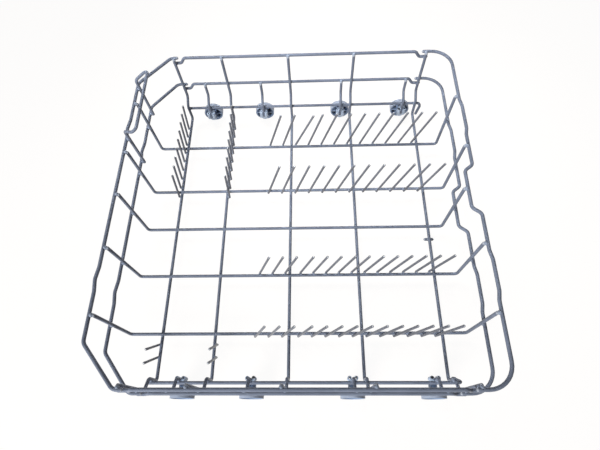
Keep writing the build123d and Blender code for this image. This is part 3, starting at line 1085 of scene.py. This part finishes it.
class BASKET_OT_wheels(Operator):
    """Moulds the wheels: a ribbed tread ring, a hub and spokes on a thin web"""

    bl_idname = "basket.wheels"
    bl_label = "Wheels"

    def execute(self, context):
        settings = context.scene.basket
        wheel, finish = settings.wheel, settings.finish
        # The third material is painted shade, for the floors of the wheels' pockets
        looks = {"wheel_plastic_look": finish.wheel, "tread_look": finish.tread, "painted_shade_look": finish.grime}
        materials = [moulded_plastic(look, settings, base) for look, base in looks.items()]
        for name, side in SIDES.items():
            for number, x in enumerate(wheel.places, 1):
                node = f"wheel_{name}_{number}"
                middle = settings.axle(x, side)
                piece = moulded_object(context, node, wheel_shape(wheel, middle, side), materials)
                paint_wheel(piece.data, wheel, middle, side)
                settle(context, piece, node, node)
                smooth_faces(piece)
        return {"FINISHED"}


def show_white(tree, plain, white, output, white_share=1.0):
    """Shows the white to rays that see the background itself, and the plain shader to all others.

    Rays that see it come from the camera, or by way of a mirror or clear surface.
    """
    rays = add_node(tree, "ShaderNodeLightPath").outputs
    seen = Field(tree, rays["Is Camera Ray"])
    for name in ("Is Glossy Ray", "Is Transmission Ray"):
        seen = seen.larger(rays[name])
    shaders = {1: white.outputs[0], 2: plain.outputs[0]}
    blend = add_node(tree, "ShaderNodeMixShader", {0: 1 - seen * white_share, **shaders})
    add_node(tree, output, {"Surface": blend.outputs[0]})


def standing(place, aim, roll=0.0):
    """Where a lamp or camera stands that looks at its aim."""
    turn = (Vector(place) - Vector(aim)).to_track_quat("Z", "Y") @ Quaternion((0, 0, 1), roll)
    return Matrix.LocRotScale(Vector(place), turn, None)


def area_lamp(context, name, place, aim, width, power):
    """A square soft white lamp aimed at a point."""
    lamp = bpy.data.lights.new(name, "AREA")
    lamp.shape = "SQUARE"
    lamp.size = width
    lamp.energy = power
    holder = bpy.data.objects.new(name, lamp)
    holder.matrix_world = standing(place, aim)
    context.scene.collection.objects.link(holder)
    return lamp


class BASKET_OT_stage(Operator):
    """Lays the pale floor and sets the light and the camera"""

    bl_idname = "basket.stage"
    bl_label = "Stage"

    def execute(self, context):
        self.lay_floor(context)
        self.set_light(context)
        self.set_camera(context)
        context.scene.view_settings.view_transform = "Standard"
        return {"FINISHED"}

    def lay_floor(self, context):
        """A wide matte floor, which is mostly white to whoever looks at it."""
        settings = context.scene.basket
        stage = settings.stage
        shape = bmesh.new()
        bmesh.ops.create_grid(shape, x_segments=1, y_segments=1, size=stage.floor_half)
        mesh = bpy.data.meshes.new("floor")
        shape.to_mesh(mesh)
        shape.free()
        floor = bpy.data.objects.new("floor", mesh)
        floor.location.z = -stage.floor_drop
        context.scene.collection.objects.link(floor)
        material = bpy.data.materials.new("pale_floor")
        material.use_nodes = True
        tree = material.node_tree
        tree.nodes.clear()
        matte = add_node(tree, "ShaderNodeBsdfDiffuse", {"Color": opaque(settings.finish.floor)})
        white = add_node(tree, "ShaderNodeEmission", {"Color": WHITE, "Strength": stage.white_strength})
        show_white(tree, matte, white, "ShaderNodeOutputMaterial", stage.white_share)
        mesh.materials.append(material)

    def set_light(self, context):
        """An even sky, a large lamp, a weak one against it and a narrow one from above."""
        stage = context.scene.basket.stage
        world = bpy.data.worlds.new("studio")
        context.scene.world = world
        world.use_nodes = True
        tree = world.node_tree
        tree.nodes.clear()
        sky = {"Color": opaque(stage.sky), "Strength": stage.sky_power}
        even = add_node(tree, "ShaderNodeBackground", sky)
        white = add_node(tree, "ShaderNodeBackground", {"Color": WHITE, "Strength": 1.0})
        show_white(tree, even, white, "ShaderNodeOutputWorld")
        middle = (0, 0, 0)
        area_lamp(context, "key", stage.key_place, middle, stage.key_width, stage.key_power)
        area_lamp(context, "fill", stage.fill_place, middle, stage.key_width, stage.fill_power)
        top = area_lamp(context, "top", stage.top_place, stage.top_aim, stage.top_width, stage.top_power)
        top.spread = stage.top_spread

    def set_camera(self, context):
        """The photograph's point of view."""
        stage = context.scene.basket.stage
        camera = bpy.data.cameras.new("photo_camera")
        camera.sensor_fit = "HORIZONTAL"
        camera.lens = camera.sensor_width * stage.focal_pixels / PHOTO_WIDTH
        camera.clip_start = 0.01
        holder = bpy.data.objects.new("photo_camera", camera)
        holder.matrix_world = standing(stage.camera_place, stage.camera_aim, stage.camera_roll)
        context.scene.collection.objects.link(holder)
        context.scene.camera = holder


STEPS = (
    BASKET_OT_rims,
    BASKET_OT_length_wires,
    BASKET_OT_cross_wires,
    BASKET_OT_bottom_rails,
    BASKET_OT_handle,
    BASKET_OT_plate_tines,
    BASKET_OT_cup_tines,
    BASKET_OT_stems,
    BASKET_OT_clips,
    BASKET_OT_wheels,
    BASKET_OT_stage,
)


class BASKET_PT_panel(Panel):
    """Lists the basket's pieces"""

    bl_idname = "BASKET_PT_panel"
    bl_label = "Dishwasher basket"
    bl_space_type = "VIEW_3D"
    bl_region_type = "UI"
    bl_category = "Basket"

    def draw(self, context):
        for step in STEPS:
            self.layout.operator(step.bl_idname)


SHAPES = (WireSizes, RimSizes, FloorSizes, HandleSizes, TineSizes, WheelSizes)
LOOKS = (Finishes, CoatLook, PlasticLook, StageSettings)
CLASSES = (*SHAPES, *LOOKS, BasketSettings, *STEPS, BASKET_PT_panel)


def register():
    for cls in CLASSES:
        bpy.utils.register_class(cls)
    bpy.types.Scene.basket = PointerProperty(type=BasketSettings)


def unregister():
    del bpy.types.Scene.basket
    for cls in reversed(CLASSES):
        bpy.utils.unregister_class(cls)


def main():
    register()
    for step in STEPS:
        getattr(bpy.ops.basket, step.bl_idname.split(".")[1])()


if __name__ == "__main__":
    main()
